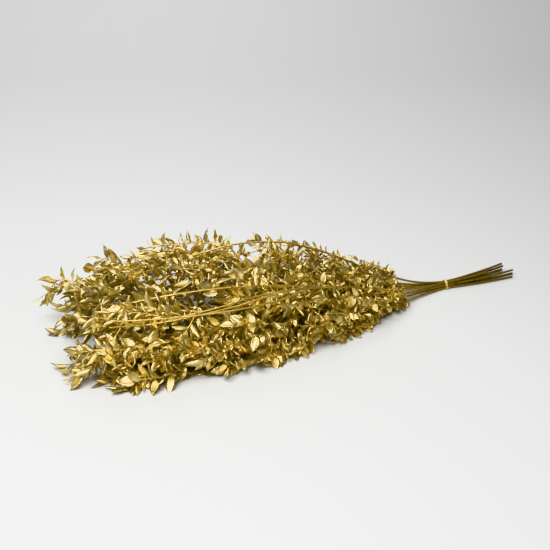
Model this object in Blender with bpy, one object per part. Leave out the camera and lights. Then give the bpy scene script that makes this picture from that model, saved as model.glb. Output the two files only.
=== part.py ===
"""Dried ruscus, sprayed gold: a bunch of nine leafy stems held by one tie, lying on a surface.

The frame is in metres: +X runs along the bunch to the cut ends, +Y across it, +Z up. The origin is on the
surface, under the middle of the bunch's box. Inside the functions a place in the bunch is given by how far
it is "along" from the cut ends, how far "across", and its height.
"""

import math
from collections import namedtuple

import bmesh
import bpy
import numpy as np
from mathutils.bvhtree import BVHTree

# Driving dimensions
TIE_ALONG = 0.115
TIE_WIDTH = 0.004
TIE_THICKNESS = 0.0010
STEM_RADIUS = 0.0016
STEM_RADIUS_TIP = 0.0010
TWIG_RADIUS_ROOT = 0.0010
TWIG_RADIUS_TIP = 0.0006
TWIG_LENGTH_FIRST = 0.072
TWIG_LENGTH_MIDDLE = 0.125
TWIG_LENGTH_LAST = 0.055
LEAF_THICKNESS = 0.0010
GAP = 0.0003

# How the stems are gathered: side by side at the tie, fanned out and swayed aside at the cut ends
SLOT_PITCH = 2 * STEM_RADIUS + 0.0004
ROW_PITCH = SLOT_PITCH * math.sqrt(3) / 2
SLOT_HEIGHT = TIE_THICKNESS + GAP + STEM_RADIUS
TIE_EASE = 0.010
CUT_FAN = 2.7
CUT_RISE = 0.0085
CUT_SWAY = 0.010
FAN_EARLY = 0.25

# How the twigs grow
SEED = 12
GOLDEN_TURN = math.radians(137.5)
TURN_SCATTER = 0.3
TWIG_SPREAD = (math.radians(34), math.radians(56))
TWIG_SCALE = (0.80, 1.15)
TWIG_LIFT = (-0.10, 0.12)
TWIG_SWEEP = 0.22
TWIG_MIDDLE_ALONG = 0.42
TWIG_CLEARANCE = 0.0055
TWIG_TRIES = 9
TRY_TURN = 0.7
TWIG_CROWDING = 1.3

# How the leaves grow
LEAF_SPACING = 0.0063
LEAF_FIRST_SHARE = 0.14
LEAF_SPREAD = math.radians(56)
LEAF_SPREAD_SCATTER = math.radians(20)
END_LEAF_SPREAD = math.radians(12)
LEAF_TWIST = 0.9
LEAF_GROWTH_ALONG = (0.20, 0.45, 0.65)
LEAF_GROWTH = (0.64, 0.88, 0.98)

# The heap's outline: distance along, half its breadth, its height, how much lower it is at its sides,
# and how softly it presses
OUTLINE_ALONG = (0.150, 0.200, 0.250, 0.310, 0.390, 0.470, 0.570, 0.630, 0.670, 0.700)
OUTLINE_HALF_BREADTH = (0.018, 0.038, 0.064, 0.093, 0.112, 0.126, 0.130, 0.114, 0.092, 0.070)
OUTLINE_HEIGHT = (0.024, 0.046, 0.070, 0.093, 0.107, 0.116, 0.122, 0.117, 0.106, 0.085)
DOME = 0.5
SETTLE_SOFTNESS = 0.008

# What the solids take of all that grows
LEAVES_PER_TWIG = 2.95
STEM_SIDES = 6
STEM_RINGS = 12
TWIG_SIDES = 3
TWIG_SEGMENTS = 3
NODE_CLEARANCE = 0.0005
LEAF_SINK = 0.0003
TIE_CORNER_POINTS = 5

# Each stem: its slot and row at the tie, where it is cut, where its twigs begin and how far apart they are,
# where its tip lies, how high it arches and bows sideways on the way, and how long its leaves are and how
# broad for their length
Stem = namedtuple("Stem", "slot row cut bare spacing tip_along tip_across tip_height arch bow leaf breadth")
STEMS = (
    Stem(-1.5, 0, 0.006, 0.190, 0.0175, 0.616, -0.112, 0.020, 0.004, -0.022, 0.0240, 0.60),
    Stem(-0.5, 0, 0.000, 0.192, 0.020, 0.636, -0.066, 0.020, 0.006, -0.014, 0.0230, 0.56),
    Stem(0.5, 0, 0.012, 0.190, 0.028, 0.640, 0.030, 0.020, 0.006, 0.000, 0.0205, 0.52),
    Stem(1.5, 0, 0.008, 0.185, 0.026, 0.600, 0.094, 0.022, 0.006, 0.002, 0.0205, 0.52),
    Stem(-1.0, 1, 0.003, 0.190, 0.020, 0.640, -0.084, 0.052, 0.022, -0.008, 0.0225, 0.54),
    Stem(0.0, 1, 0.020, 0.200, 0.022, 0.652, -0.006, 0.070, 0.030, -0.004, 0.0205, 0.46),
    Stem(1.0, 1, 0.010, 0.185, 0.023, 0.650, 0.062, 0.062, 0.032, 0.006, 0.0210, 0.48),
    Stem(-0.5, 2, 0.046, 0.510, 0.016, 0.632, -0.104, 0.086, 0.048, -0.020, 0.0205, 0.48),
    Stem(0.5, 2, 0.016, 0.430, 0.021, 0.610, 0.044, 0.094, 0.060, 0.006, 0.0215, 0.44),
)

# The corners of the stack of stems at the tie, with the turn at which the tie meets each and its sweep there
TIE_CORNERS = ((-1.5, 0, 150, 120), (1.5, 0, 270, 120), (0.5, 2, 30, 60), (-0.5, 2, 90, 60))

# A leaf's outline and the thickest place of its midrib, as shares of its length and of half its width
LEAF_OUTLINE = ((0.0, 0.0), (0.27, 1.0), (0.66, 1.0), (1.0, 0.0), (0.66, -1.0), (0.27, -1.0))
LEAF_MIDRIB = (0.13, 0.0)


def unit(vectors):
    """The same directions at length 1."""
    return vectors / np.maximum(np.linalg.norm(vectors, axis=-1, keepdims=True), 1e-12)


def soft_floor(values):
    """Values well above 0 stay, and lower ones ease down towards 0 and never reach it."""
    return SETTLE_SOFTNESS * np.logaddexp(0.0, values / SETTLE_SOFTNESS)


def stem_radius(stem, along):
    """A stem keeps its radius to the tie, and tapers evenly from there to its tip."""
    share = np.clip((along - TIE_ALONG) / (stem.tip_along - TIE_ALONG), 0, None)
    return STEM_RADIUS + (STEM_RADIUS_TIP - STEM_RADIUS) * share


def eased_run(distance):
    """Distance from the tie, eased in so that what is worked out from it leaves the tie straight."""
    return np.sqrt(distance**2 + TIE_EASE**2) - TIE_EASE


def stem_line(stem, along):
    """A stem's centre: through its slot in the tie, opening out to the cut ends and, more, to the tips."""
    along = np.asarray(along, float)
    slot_across = stem.slot * SLOT_PITCH
    slot_height = SLOT_HEIGHT + stem.row * ROW_PITCH
    cut_height = STEM_RADIUS + stem.row * CUT_RISE
    before = eased_run(np.clip(TIE_ALONG - along, 0, None)) / eased_run(TIE_ALONG)
    after = eased_run(np.clip(along - TIE_ALONG, 0, None)) / eased_run(stem.tip_along - TIE_ALONG)
    swell = np.sin(math.pi * np.clip(after, 0, 1)) ** 2
    fan = (1 + FAN_EARLY) * after - FAN_EARLY * after**3
    across = slot_across + slot_across * (CUT_FAN - 1) * before + CUT_SWAY * before**2
    across = across + (stem.tip_across - slot_across) * fan + stem.bow * swell
    height = slot_height + (cut_height - slot_height) * before
    height = height + (stem.tip_height - slot_height) * after**1.5 + stem.arch * swell
    return np.stack([along, across, height], axis=-1)


def settled(points):
    """Points of the loose growth pressed into the heap's outline, clear of the surface below."""
    along, across, height = np.moveaxis(points, -1, 0)
    side = np.interp(along, OUTLINE_ALONG, OUTLINE_HALF_BREADTH)
    round_off = 1 - DOME * np.clip(across / side, -1, 1) ** 2
    top = np.interp(along, OUTLINE_ALONG, OUTLINE_HEIGHT) * round_off
    height = top - soft_floor(top - height)
    height = TWIG_RADIUS_ROOT + GAP + soft_floor(height)
    across = np.sign(across) * (side - soft_floor(side - np.abs(across)))
    return np.stack([along, across, height], axis=-1)


class Twig:
    """A side shoot: it leaves its stem at an angle and curves forwards, to the tips of the bunch."""

    def __init__(self, root, aim, bend, length):
        self.root = root
        self.aim = aim
        self.bend = bend
        self.length = length

    def line(self, shares):
        """Its centre at shares of its length: root + aim t + bend t squared, settled more and more."""
        shares = np.asarray(shares, float)[..., None]
        loose = self.root + self.length * (self.aim * shares + self.bend * shares**2)
        return loose + (settled(loose) - loose) * np.clip(3 * shares, 0, 1)


def twig_beside(stem, along, turn, spread, length, lift):
    """The twig that leaves a stem at this turn about it, spread out from it by that angle."""
    root = stem_line(stem, along)
    forward = unit(stem_line(stem, along + 0.002) - root)
    out = unit(np.cross(forward, [0.0, 0.0, 1.0]))
    over = np.cross(out, forward)
    radial = math.cos(turn) * out + math.sin(turn) * over
    aim = math.cos(spread) * forward + math.sin(spread) * radial
    bend = TWIG_SWEEP * (forward - aim) + np.array([0.0, 0.0, lift])
    return Twig(root, aim, bend, length)


def twig_places(stem):
    """Where a stem's twigs grow: closest together at the first, and farther apart towards the tip."""
    leafy = stem.tip_along - 0.015 - stem.bare
    count = int(round(leafy / stem.spacing))
    return stem.bare + leafy * np.linspace(0, 1, count) ** TWIG_CROWDING


def grow_twigs():
    """Every stem's twigs, each turned about its stem until it passes clear of all that grew before it."""
    marks = [stem_line(stem, np.arange(stem.cut, stem.tip_along, 0.004)) for stem in STEMS]
    twigs = []
    for index, stem in enumerate(STEMS):
        draw = np.random.RandomState(SEED + index)
        turn = draw.uniform(0, 2 * math.pi)
        own = []
        for along in twig_places(stem):
            turn += GOLDEN_TURN + draw.uniform(-TURN_SCATTER, TURN_SCATTER)
            spread = draw.uniform(*TWIG_SPREAD)
            scale = draw.uniform(*TWIG_SCALE)
            lift = draw.uniform(*TWIG_LIFT)
            place = (stem.bare, TWIG_MIDDLE_ALONG, stem.tip_along)
            stage = np.interp(along, place, (0, 1, 2))
            lengths = (TWIG_LENGTH_FIRST, TWIG_LENGTH_MIDDLE, TWIG_LENGTH_LAST)
            length = scale * np.interp(stage, (0, 1, 2), lengths)
            for attempt in range(TWIG_TRIES):
                twig = twig_beside(stem, along, turn + attempt * TRY_TURN, spread, length, lift)
                samples = twig.line(np.linspace(0.0, 1.0, 26))
                others = np.concatenate(marks[:index] + marks[index + 1 :])
                apart = np.linalg.norm(samples[:, None] - others[None], axis=-1).min()
                beside = np.linalg.norm(samples[6:, None] - marks[index][None], axis=-1).min()
                if min(apart, beside) > TWIG_CLEARANCE:
                    own.append(twig)
                    marks[index] = np.concatenate([marks[index], samples])
                    break
        twigs.append(own)
    return twigs


def leaf_half_width(share):
    """Half a leaf's width at a share of its length, 1 at most: widest at 0.4, drawn out to a point."""
    return np.maximum(share, 0) ** 0.8 * np.maximum(1 - share, 0) ** 1.2 / (0.4**0.8 * 0.6**1.2)


def leaf_points(leaves, shares, sides):
    """Points on every leaf's middle surface, at shares of its length and sides from -1 to 1.

    A point lies share times the length along the leaf and side times the half width across it. It is
    lifted by the curl times the share squared and by the cup times the side squared.
    """
    half = leaves["width"][:, None] / 2 * leaf_half_width(shares)
    run = leaves["length"][:, None] * shares
    lift = run * leaves["curl"][:, None] * shares + half * leaves["cup"][:, None] * sides**2
    return (
        leaves["base"][:, None]
        + leaves["aim"][:, None] * run[..., None]
        + leaves["side"][:, None] * (half * sides)[..., None]
        + leaves["face"][:, None] * lift[..., None]
    )


def lay_on_surface(leaves):
    """Leaves that reach below the surface are turned up and flattened, by degrees, until they lie on it."""
    shares = np.array([0.3, 0.3, 0.66, 0.66, 1.0])
    sides = np.array([1.0, -1.0, 1.0, -1.0, 0.0])
    for _ in range(8):
        lowest = leaf_points(leaves, shares, sides)[..., 2].min(axis=1)
        short = np.maximum(LEAF_THICKNESS / 2 - lowest, 0)[:, None]
        sinks = short > 0
        aim = unit(leaves["aim"] + np.array([0.0, 0.0, 1.0]) * short / leaves["length"][:, None])
        side = leaves["side"] * np.where(sinks, [1.0, 1.0, 0.6], 1.0)
        leaves["face"] = unit(np.cross(aim, side))
        leaves["side"] = np.cross(leaves["face"], aim)
        leaves["aim"] = aim
        leaves["curl"] = leaves["curl"] * np.where(sinks[:, 0], 0.7, 1.0)
        leaves["cup"] = leaves["cup"] * np.where(sinks[:, 0], 0.7, 1.0)
    return leaves


def grow_leaves(index, twigs):
    """The leaves of one stem: in two alternate rows along each twig, with one at its end."""
    draw = np.random.RandomState(SEED + 100 + index)
    rows = []
    for number, twig in enumerate(twigs):
        count = max(4, int(round(twig.length * (1 - LEAF_FIRST_SHARE) / LEAF_SPACING)) + 1)
        shares = np.linspace(LEAF_FIRST_SHARE, 1.0, count)
        base = twig.line(shares)
        forward = unit(base - twig.line(shares - 0.02))
        first = unit(np.cross(forward, [0.2, 0.1, 1.0]))
        second = np.cross(forward, first)
        chance = draw.uniform(-1, 1, (count, 7))
        turn = (draw.uniform(0, math.pi) + math.pi * np.arange(count) + 0.6 * chance[:, 0])[:, None]
        radial = np.cos(turn) * first + np.sin(turn) * second
        spread = (LEAF_SPREAD + LEAF_SPREAD_SCATTER * chance[:, 1])[:, None]
        spread[-1] = END_LEAF_SPREAD
        aim = np.cos(spread) * forward + np.sin(spread) * radial
        face = np.sin(spread) * forward - np.cos(spread) * radial
        twist = (LEAF_TWIST * chance[:, 2])[:, None]
        side = np.cos(twist) * np.cross(face, aim) + np.sin(twist) * face
        growth = np.interp(base[:, 0], LEAF_GROWTH_ALONG, LEAF_GROWTH)
        length = STEMS[index].leaf * growth * (1 + 0.28 * chance[:, 3])
        row = {
            "base": base,
            "aim": aim,
            "side": side,
            "face": np.cross(aim, side),
            "length": length,
            "width": length * STEMS[index].breadth * (1 + 0.22 * chance[:, 4]),
            "cup": 0.35 + 0.45 * chance[:, 5],
            "curl": 0.08 + 0.30 * chance[:, 6],
            "twig": np.full(count, number),
            "share": shares,
            "rank": np.arange(count)[::-1] * 5 % count + draw.uniform(0, 0.5),
        }
        rows.append(row)
    return lay_on_surface({key: np.concatenate([row[key] for row in rows]) for key in rows[0]})


def world(points):
    """Points given as along, across and up, turned into x, y and z, with +X to the cut ends."""
    return points * [-1.0, 1.0, 1.0]


def ring_frames(points):
    """Two directions across a line at each of its points, carried along it without twist."""
    tangents = unit(np.gradient(points, axis=0))
    across = unit(np.cross(tangents[0], [0.0, 0.3, 1.0]))
    frames = []
    for tangent in tangents:
        across = unit(across - tangent * (across @ tangent))
        frames.append((across, np.cross(tangent, across)))
    return frames


def tube(points, radii, sides):
    """Vertices and faces of a closed bar along points."""
    angles = np.arange(sides)[:, None] * 2 * math.pi / sides
    rings = [
        point + radius * (np.cos(angles) * out + np.sin(angles) * over)
        for point, radius, (out, over) in zip(points, radii, ring_frames(points))
    ]
    faces = [tuple(range(sides))[::-1]]
    for ring in range(len(points) - 1):
        low = ring * sides
        for k in range(sides):
            after = (k + 1) % sides
            faces.append((low + k, low + after, low + sides + after, low + sides + k))
    last = (len(points) - 1) * sides
    faces.append(tuple(last + k for k in range(sides)))
    return np.concatenate(rings), faces


def blade(middle, face, thickness):
    """Vertices and faces of one leaf: its outline, and its midrib's point on both of its faces."""
    rim, rib = middle[:-1], middle[-1]
    vertices = np.stack([*rim, rib + face * thickness / 2, rib - face * thickness / 2])
    above = len(rim)
    below = above + 1
    faces = []
    for k in range(above):
        after = (k + 1) % above
        faces.append((k, after, above))
        faces.append((after, k, below))
    return vertices, faces


def bar_rings(stem):
    """Where a stem's bar has its rings: at its cut end, at both sides of the tie and evenly up to its tip."""
    beside_tie = 0.7 * TIE_WIDTH
    beyond = np.linspace(TIE_ALONG + beside_tie, stem.tip_along, STEM_RINGS - 2)
    return np.concatenate([[stem.cut, TIE_ALONG - beside_tie], beyond])


def on_bar(line, rings, place):
    """The point at a place on a bar whose rings stand at the points of a line."""
    return np.stack([np.interp(place, rings, values) for values in line.T], axis=-1)


def bars_of(index, twigs):
    """The bars of a stem and of its twigs, as (owner, vertices, faces)."""
    stem = STEMS[index]
    rings = bar_rings(stem)
    stem_bar = stem_line(stem, rings)
    bars = [((index, None), *tube(world(stem_bar), stem_radius(stem, rings), STEM_SIDES))]
    shares = np.linspace(0, 1, TWIG_SEGMENTS + 1)
    radii = TWIG_RADIUS_ROOT + (TWIG_RADIUS_TIP - TWIG_RADIUS_ROOT) * shares
    for number, twig in enumerate(twigs):
        line = twig.line(shares)
        line[0] = on_bar(stem_bar, rings, twig.root[0])
        bars.append(((index, number), *tube(world(line), radii, TWIG_SIDES)))
    return bars


class Crowd:
    """Everything that is in place, so that nothing new crosses it."""

    def __init__(self):
        self.placed = []

    def add(self, vertices, faces, owner):
        """Takes in a shape that belongs to an owner."""
        centre = vertices.mean(axis=0)
        reach = np.linalg.norm(vertices - centre, axis=1).max()
        self.placed.append((centre, reach, BVHTree.FromPolygons(vertices.tolist(), faces), owner))

    def crosses(self, vertices, faces, owner):
        """Whether a shape crosses any that belongs to another owner."""
        centre = vertices.mean(axis=0)
        reach = np.linalg.norm(vertices - centre, axis=1).max()
        tree = BVHTree.FromPolygons(vertices.tolist(), faces)
        for other_centre, other_reach, other_tree, other_owner in self.placed:
            if other_owner == owner or np.linalg.norm(centre - other_centre) > reach + other_reach:
                continue
            if tree.overlap(other_tree):
                return True
        return False


def choose_leaves(index, twigs, crowd):
    """The leaves that the solid takes: each twig's end leaf first, then the rest by turns, none crossing."""
    leaves = grow_leaves(index, twigs)
    rings = np.linspace(0, 1, TWIG_SEGMENTS + 1)
    bars = [twig.line(rings) for twig in twigs]
    pairs = zip(leaves["twig"], leaves["share"])
    leaves["base"] = np.array([on_bar(bars[number], rings, share) for number, share in pairs])
    shares, sides = np.array([*LEAF_OUTLINE, LEAF_MIDRIB]).T
    middles = leaf_points(leaves, shares, sides)
    middles[:, 0] -= LEAF_SINK * leaves["aim"]
    middles[..., 2] = np.maximum(middles[..., 2], LEAF_THICKNESS / 2)
    middles = world(middles)
    facing = world(leaves["face"])
    chosen = []
    for k in np.argsort(leaves["rank"], kind="stable"):
        if len(chosen) >= LEAVES_PER_TWIG * len(twigs):
            break
        owner = (index, int(leaves["twig"][k]))
        centre = middles[k].mean(axis=0)
        swollen = centre + (middles[k] - centre) * (1 + 2 * NODE_CLEARANCE / leaves["width"][k])
        if crowd.crosses(*blade(swollen, facing[k], LEAF_THICKNESS + 2 * NODE_CLEARANCE), owner):
            continue
        chosen.append(blade(middles[k], facing[k], LEAF_THICKNESS))
        crowd.add(*chosen[-1], owner)
    return chosen


def gold(name, colour, roughness):
    """A gold spray paint."""
    material = bpy.data.materials.new(name)
    material.use_nodes = True
    surface = material.node_tree.nodes["Principled BSDF"]
    surface.inputs["Base Color"].default_value = (*colour, 1.0)
    surface.inputs["Metallic"].default_value = 0.9
    surface.inputs["Roughness"].default_value = roughness
    return material


def new_object(name, vertices, faces, material, collection):
    """An object made from vertices and faces, with its faces pointing out."""
    mesh = bpy.data.meshes.new(name)
    mesh.from_pydata(np.asarray(vertices).tolist(), [], faces)
    shape = bmesh.new()
    shape.from_mesh(mesh)
    bmesh.ops.recalc_face_normals(shape, faces=shape.faces)
    shape.to_mesh(mesh)
    shape.free()
    mesh.materials.append(material)
    piece = bpy.data.objects.new(name, mesh)
    collection.objects.link(piece)
    return piece


def fuse(stem, growth):
    """One Boolean union of a stem and of everything in the collection of its growth."""
    union = stem.modifiers.new("fuse", "BOOLEAN")
    union.operation = "UNION"
    union.operand_type = "COLLECTION"
    union.collection = growth
    union.solver = "MANIFOLD"
    bpy.context.view_layer.objects.active = stem
    bpy.ops.object.modifier_apply(modifier=union.name)
    for piece in list(growth.objects):
        bpy.data.objects.remove(piece)
    bpy.data.collections.remove(growth)


def make_leafy_stem(index, bars, leaves):
    """One stem with its twigs and its leaves, grown together as one piece."""
    name = f"leafy_stem_{index + 1}"
    paint = gold(name + "_gold", (0.56, 0.38, 0.09), 0.42)
    scene = bpy.context.scene.collection
    growth = bpy.data.collections.new(name + "_growth")
    scene.children.link(growth)
    for _, vertices, faces in bars[1:]:
        new_object("twig", vertices, faces, paint, growth)
    for vertices, faces in leaves:
        new_object("leaf", vertices, faces, paint, growth)
    fuse(new_object(name, *bars[0][1:], paint, scene), growth)


def tie_outline(distance):
    """A line stretched round the outer stems at the tie, this far from their centres."""
    outline = []
    for slot, row, start, sweep in TIE_CORNERS:
        for share in np.linspace(0, 1, TIE_CORNER_POINTS):
            angle = math.radians(start + sweep * share)
            across = slot * SLOT_PITCH + distance * math.cos(angle)
            height = SLOT_HEIGHT + row * ROW_PITCH + distance * math.sin(angle)
            outline.append((across, height))
    return outline


def make_tie():
    """The tie: a closed band round the nine stems, flat where it lies on the surface."""
    inner = tie_outline(STEM_RADIUS + GAP)
    outer = tie_outline(STEM_RADIUS + GAP + TIE_THICKNESS)
    count = len(outer)
    rings = []
    for along in (TIE_ALONG - TIE_WIDTH / 2, TIE_ALONG + TIE_WIDTH / 2):
        for outline in (inner, outer):
            rings += [(along, across, height) for across, height in outline]
    faces = []
    for near, far in ((0, 1), (1, 3), (3, 2), (2, 0)):
        for k in range(count):
            after = (k + 1) % count
            faces.append((near * count + k, near * count + after, far * count + after, far * count + k))
    paint = gold("tie_band_gold", (0.66, 0.47, 0.13), 0.36)
    new_object("tie_band", world(np.array(rings)), faces, paint, bpy.context.scene.collection)


def centre_on_box():
    """Moves the bunch so that the origin lies on the surface, under the middle of its box."""
    pieces = list(bpy.context.scene.objects)
    corners = np.array([vertex.co for piece in pieces for vertex in piece.data.vertices])
    low, high = corners.min(axis=0), corners.max(axis=0)
    shift = np.array([-(low[0] + high[0]) / 2, -(low[1] + high[1]) / 2, -low[2]])
    for piece in pieces:
        moved = np.array([vertex.co for vertex in piece.data.vertices]) + shift
        piece.data.vertices.foreach_set("co", moved.ravel())
        piece.data.update()


def main():
    for old in list(bpy.data.objects):
        bpy.data.objects.remove(old)
    twigs = grow_twigs()
    bars = [bars_of(index, own) for index, own in enumerate(twigs)]
    crowd = Crowd()
    for owner, vertices, faces in (bar for own in bars for bar in own):
        crowd.add(vertices, faces, owner)
    for index, own in enumerate(twigs):
        make_leafy_stem(index, bars[index], choose_leaves(index, own, crowd))
    make_tie()
    centre_on_box()


main()
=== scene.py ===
"""A tied bunch of dried ruscus, sprayed gold, lying on a pale surface.

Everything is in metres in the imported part's frame: +X runs along the bunch to the cut ends, +Y across it and
+Z up. Inside the functions a place in the bunch is given by how far it is "along" from the cut ends, how far
"across", and its height. The stems, twigs and leaves grow here by the same rules as in the part, more finely.
"""

import math
from collections import namedtuple
from functools import lru_cache

import bpy
import numpy as np
from bpy.props import FloatProperty, FloatVectorProperty, PointerProperty
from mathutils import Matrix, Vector


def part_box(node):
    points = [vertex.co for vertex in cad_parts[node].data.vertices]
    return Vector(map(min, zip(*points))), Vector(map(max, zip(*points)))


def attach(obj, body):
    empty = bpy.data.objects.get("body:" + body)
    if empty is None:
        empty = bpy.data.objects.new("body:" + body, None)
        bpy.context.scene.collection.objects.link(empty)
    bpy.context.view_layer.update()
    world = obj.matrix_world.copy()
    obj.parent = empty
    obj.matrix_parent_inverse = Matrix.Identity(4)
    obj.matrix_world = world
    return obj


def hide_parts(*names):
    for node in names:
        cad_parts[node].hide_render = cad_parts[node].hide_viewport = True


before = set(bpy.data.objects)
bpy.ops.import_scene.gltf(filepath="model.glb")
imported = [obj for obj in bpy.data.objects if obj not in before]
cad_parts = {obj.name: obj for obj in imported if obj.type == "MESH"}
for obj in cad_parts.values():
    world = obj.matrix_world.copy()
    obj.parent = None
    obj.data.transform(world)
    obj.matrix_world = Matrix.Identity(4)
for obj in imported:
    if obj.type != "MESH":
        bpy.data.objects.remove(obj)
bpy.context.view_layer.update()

TIE_LOW, TIE_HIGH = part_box("tie_band")

bl_info = {
    "name": "Gilded Ruscus Bunch",
    "version": (1, 0, 0),
    "blender": (4, 5, 0),
    "location": "View3D > Sidebar > Ruscus",
    "description": "Grows a tied bunch of gold-sprayed dried ruscus over its packed frame",
    "category": "Add Mesh",
}

# The part's own dimensions
TIE_ALONG = 0.115
TIE_WIDTH = 0.004
TIE_THICKNESS = 0.0010
STEM_RADIUS = 0.0016
STEM_RADIUS_TIP = 0.0010
TWIG_RADIUS_ROOT = 0.0010
TWIG_RADIUS_TIP = 0.0006
TWIG_LENGTHS = (0.072, 0.125, 0.055)
LEAF_THICKNESS = 0.0010
GAP = 0.0003
SLOT_PITCH = 2 * STEM_RADIUS + 0.0004
ROW_PITCH = SLOT_PITCH * math.sqrt(3) / 2
SLOT_HEIGHT = TIE_THICKNESS + GAP + STEM_RADIUS
TIE_EASE = 0.010
CUT_FAN = 2.7
CUT_RISE = 0.0085
CUT_SWAY = 0.010
FAN_EARLY = 0.25

# How the part's twigs and leaves grow
SEED = 12
TANGENT_STEP = 0.002
SHARE_STEP = 0.02
GOLDEN_TURN = math.radians(137.5)
TURN_SCATTER = 0.3
TWIG_SPREAD = (math.radians(34), math.radians(56))
TWIG_SCALE = (0.80, 1.15)
TWIG_LIFT = (-0.10, 0.12)
TWIG_SWEEP = 0.22
TWIG_MIDDLE_ALONG = 0.42
TWIG_CLEARANCE = 0.0055
TWIG_TRIES = 9
TRY_TURN = 0.7
TWIG_CROWDING = 1.3
BARE_TIP = 0.015
MARK_SPACING = 0.004
TWIG_MARKS = 26
MARKS_AT_ROOT = 6
LEAF_SPACING = 0.0063
LEAF_FIRST_SHARE = 0.14
LEAF_SPREAD = math.radians(56)
LEAF_SPREAD_SCATTER = math.radians(20)
END_LEAF_SPREAD = math.radians(12)
LEAF_TWIST = 0.9
LEAF_POWERS = (0.8, 1.2)
LEAF_TURN_SCATTER = 0.6
LEAF_LENGTH_SCATTER = 0.28
LEAF_WIDTH_SCATTER = 0.22
LEAF_CUP, LEAF_CUP_SCATTER = 0.35, 0.45
LEAF_CURL, LEAF_CURL_SCATTER = 0.08, 0.30
LEAST_LEAVES = 4
LAY_ROUNDS = 8
LAY_FLATTEN = 0.6
LAY_SOFTEN = 0.7
LEAF_GROWTH_ALONG = (0.20, 0.45, 0.65)
LEAF_GROWTH = (0.64, 0.88, 0.98)
OUTLINE_ALONG = (0.150, 0.200, 0.250, 0.310, 0.390, 0.470, 0.570, 0.630, 0.670, 0.700)
OUTLINE_HALF_BREADTH = (0.018, 0.038, 0.064, 0.093, 0.112, 0.126, 0.130, 0.114, 0.092, 0.070)
OUTLINE_HEIGHT = (0.024, 0.046, 0.070, 0.093, 0.107, 0.116, 0.122, 0.117, 0.106, 0.085)
DOME = 0.5
SETTLE_SOFTNESS = 0.008

# Each stem: its slot and row at the tie, where it is cut, where its twigs begin and how far apart they are,
# where its tip lies, how high it arches and bows sideways on the way, and how long its leaves are and how
# broad for their length
Stem = namedtuple("Stem", "slot row cut bare spacing tip_along tip_across tip_height arch bow leaf breadth")
STEMS = (
    Stem(-1.5, 0, 0.006, 0.190, 0.0175, 0.616, -0.112, 0.020, 0.004, -0.022, 0.0240, 0.60),
    Stem(-0.5, 0, 0.000, 0.192, 0.020, 0.636, -0.066, 0.020, 0.006, -0.014, 0.0230, 0.56),
    Stem(0.5, 0, 0.012, 0.190, 0.028, 0.640, 0.030, 0.020, 0.006, 0.000, 0.0205, 0.52),
    Stem(1.5, 0, 0.008, 0.185, 0.026, 0.600, 0.094, 0.022, 0.006, 0.002, 0.0205, 0.52),
    Stem(-1.0, 1, 0.003, 0.190, 0.020, 0.640, -0.084, 0.052, 0.022, -0.008, 0.0225, 0.54),
    Stem(0.0, 1, 0.020, 0.200, 0.022, 0.652, -0.006, 0.070, 0.030, -0.004, 0.0205, 0.46),
    Stem(1.0, 1, 0.010, 0.185, 0.023, 0.650, 0.062, 0.062, 0.032, 0.006, 0.0210, 0.48),
    Stem(-0.5, 2, 0.046, 0.510, 0.016, 0.632, -0.104, 0.086, 0.048, -0.020, 0.0205, 0.48),
    Stem(0.5, 2, 0.016, 0.430, 0.021, 0.610, 0.044, 0.094, 0.060, 0.006, 0.0215, 0.44),
)
# The corners of the stack of stems at the tie, with the turn at which the tie meets each and its sweep there
TIE_CORNERS = ((-1.5, 0, 150, 120), (1.5, 0, 270, 120), (0.5, 2, 30, 60), (-0.5, 2, 90, 60))

# The finer growth that the solids leave out: short sprigs on the twigs and on the stems
SPRIG_SHARES = (0.22, 0.42, 0.62)
SPRIG_SHARE_SCATTER = 0.08
SPRIG_SCALE = (0.28, 0.46)
SPRIG_SPREAD = (math.radians(35), math.radians(65))
SPRIG_LEAF_SPACING = 0.0060
SPRIG_LEAF_SCALE = 0.84
SPRIG_HEADROOM = 0.82
STEM_SPRIGS_LEAD = 0.006
STEM_SPRIGS_END = 0.42
STEM_SPRIG_STRETCH = {7: (0.27, 0.45)}
STEM_SPRIG_SPACING = 0.012
STEM_SPRIG_LENGTH = (0.028, 0.050)

# Bare branches: the stem they leave and where, then along, across and height of their middle and their end
SIDE_STEMS = (
    (7, 0.36, (0.470, -0.108, 0.083), (0.620, -0.088, 0.084)),
    (7, 0.40, (0.490, -0.104, 0.084), (0.585, -0.101, 0.079)),
    (7, 0.34, (0.470, -0.078, 0.100), (0.600, -0.062, 0.092)),
)

# Painted shade darkens growth deep in the heap and lightens it from the first share of the way out to the
# second; the other share of its tone is chance
DEPTH_SHADE_REACH = (0.45, 1.0)
TONE_CHANCE = 0.5
STEM_TONE = 0.6
TIE_TONE = 0.9

# Radii at root and tip, rings and sides of twigs, sprigs and bare branches, then the finer faces' sizes
TWIG_FACES = ((TWIG_RADIUS_ROOT, TWIG_RADIUS_TIP), 22, 6)
SPRIG_FACES = ((0.0006, 0.0004), 10, 5)
SIDE_STEM_FACES = ((0.0014, 0.0009), 80, 6)
STEM_RINGS, STEM_SIDES = 220, 10
LEAF_ROWS = np.array([0.06, 0.24, 0.45, 0.67, 0.86])
LEAF_SIDES = np.array([1.0, 0.5, 0.0, -0.5, -1.0, -0.5, 0.0, 0.5])
LEAF_LEVELS = np.array([0.0, 1.0, 1.0, 1.0, 0.0, -1.0, -1.0, -1.0])
LEAF_WAVES = 1.5
LEAF_BASE_SWELL = 1.2
CALM_HEIGHT, CALMEST = 0.012, 0.15
WANDER_EASE = 0.08
WANDER_WAVES = (61, 83)
TIE_CORNER_POINTS = 9
TIE_PROFILE_POINTS = 36
TIE_OUTER_SHARE = 0.75
TIE_CORD_LOW = 0.45
TIE_INNER_LIFT = 0.05

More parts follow.
